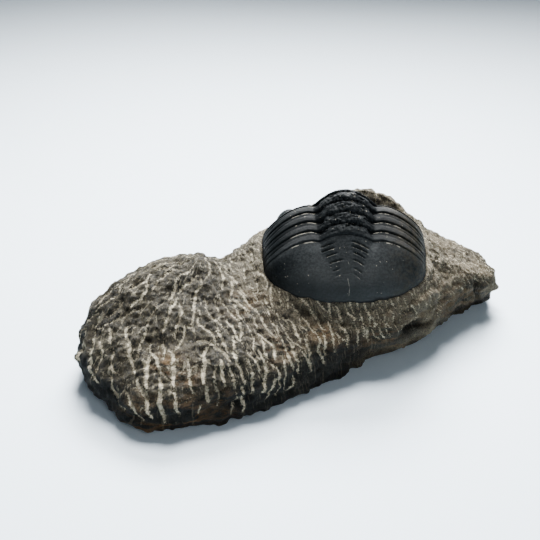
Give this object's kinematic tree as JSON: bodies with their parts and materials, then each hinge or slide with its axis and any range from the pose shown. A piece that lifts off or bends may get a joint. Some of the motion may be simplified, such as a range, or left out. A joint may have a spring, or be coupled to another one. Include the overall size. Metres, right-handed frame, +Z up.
{
  "type": "trilobite fossil",
  "caption": "Arched black trilobite fossil on an irregular slab of scratched grey-brown limestone matrix, a free-standing display specimen.",
  "frame": {"origin": "centre of the specimen's bounding box, on the plane that the slab rests on", "axes": "+Z up; +Y from the trilobite's tail towards its head; +X to the right as seen from the tail, the longest side"},
  "size_m": [0.1364, 0.111, 0.0461],
  "materials": {
    "matrix": "rough, scratched by preparation tools",
    "exoskeleton": "satin"
  },
  "bodies": {
    "root": {"matrix_rock": "matrix", "pygidium": "exoskeleton", "thoracic_segment_8": "exoskeleton", "thoracic_segment_7": "exoskeleton", "thoracic_segment_6": "exoskeleton", "thoracic_segment_5": "exoskeleton", "thoracic_segment_4": "exoskeleton", "thoracic_segment_3": "exoskeleton", "thoracic_segment_2": "exoskeleton", "thoracic_segment_1": "exoskeleton", "cephalon": "exoskeleton"}
  },
  "joints": []
}
